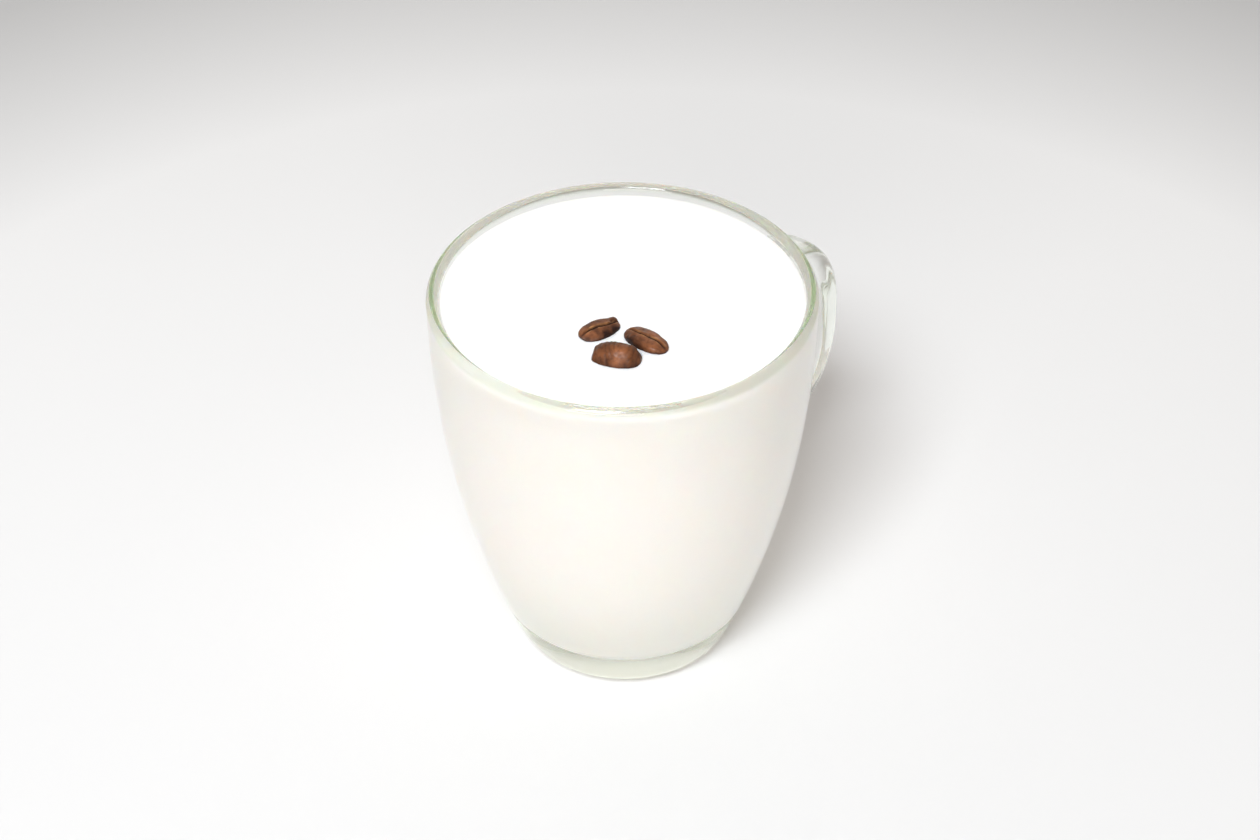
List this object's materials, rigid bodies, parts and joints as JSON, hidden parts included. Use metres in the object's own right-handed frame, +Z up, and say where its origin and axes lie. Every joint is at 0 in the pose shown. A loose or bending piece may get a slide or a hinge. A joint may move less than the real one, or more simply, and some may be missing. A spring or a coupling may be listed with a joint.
{
  "type": "white mocha in a glass mug",
  "caption": "Clear glass mug with a loop handle and a tucked-in foot, filled to just under its rim with a white milk coffee drink and topped with roasted coffee beans.",
  "frame": {"origin": "centre of the mug's flat underside", "axes": "+Z up along the mug's axis, +X towards the handle"},
  "size_m": [0.1132, 0.085, 0.0972],
  "materials": {
    "clear_glass": "clear, fire-polished, with a faint green tint at the rim",
    "white_drink": "opaque warm white milk with a smooth foam top",
    "roasted_bean": "medium roast, satin with a faint oily sheen"
  },
  "bodies": {
    "root": {"glass_mug": "clear_glass", "white_mocha": "white_drink", "bean_left": "roasted_bean", "bean_right": "roasted_bean", "bean_front": "roasted_bean"}
  },
  "joints": []
}
